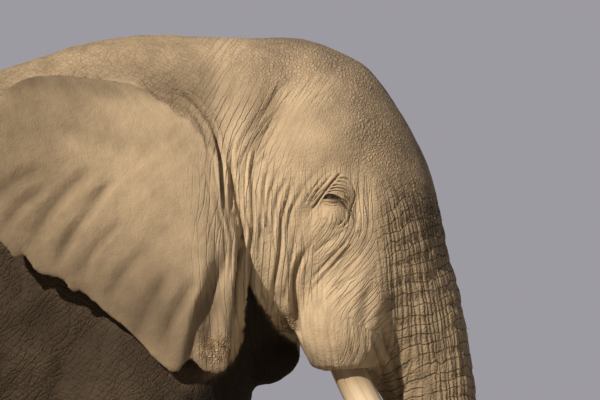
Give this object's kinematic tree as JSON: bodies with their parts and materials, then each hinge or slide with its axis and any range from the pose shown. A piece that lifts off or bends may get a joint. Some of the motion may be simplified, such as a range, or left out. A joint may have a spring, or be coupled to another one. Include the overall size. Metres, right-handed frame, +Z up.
{
  "type": "african bush elephant bull",
  "caption": "Adult African bush elephant bull standing still, trunk hanging with its tip curled, tusks curving forward and ears laid back.",
  "frame": {"origin": "on the ground under the middle of the whole animal", "axes": "+X forward, the way the elephant faces, +Y to its left, +Z up"},
  "size_m": [3.797, 1.5034, 3.1632],
  "materials": {
    "skin": "dry, wrinkled and dusty",
    "ivory": "smooth, worn, faintly glossy",
    "eye": "wet gloss",
    "nail": "dull, worn horn",
    "hair": "coarse, dull bristle"
  },
  "bodies": {
    "root": {"barrel": "skin", "ear_left": "skin", "ear_right": "skin", "eye_left": "eye", "eye_right": "eye", "foreleg_left_foot": "skin", "foreleg_left_lower": "skin", "foreleg_left_upper": "skin", "foreleg_right_foot": "skin", "foreleg_right_lower": "skin", "foreleg_right_upper": "skin", "head": "skin", "hindleg_left_foot": "skin", "hindleg_left_lower": "skin", "hindleg_left_upper": "skin", "hindleg_right_foot": "skin", "hindleg_right_lower": "skin", "hindleg_right_upper": "skin", "hindquarters": "skin", "jaw": "skin", "neck": "skin", "shoulders": "skin", "tail": "skin", "tail_tuft": "hair", "toenail_fore_left_1": "nail", "toenail_fore_left_2": "nail", "toenail_fore_left_3": "nail", "toenail_fore_left_4": "nail", "toenail_fore_right_1": "nail", "toenail_fore_right_2": "nail", "toenail_fore_right_3": "nail", "toenail_fore_right_4": "nail", "toenail_hind_left_1": "nail", "toenail_hind_left_2": "nail", "toenail_hind_left_3": "nail", "toenail_hind_right_1": "nail", "toenail_hind_right_2": "nail", "toenail_hind_right_3": "nail", "trunk_middle": "skin", "trunk_tip": "skin", "trunk_upper": "skin", "tusk_left": "ivory", "tusk_right": "ivory"}
  },
  "joints": []
}
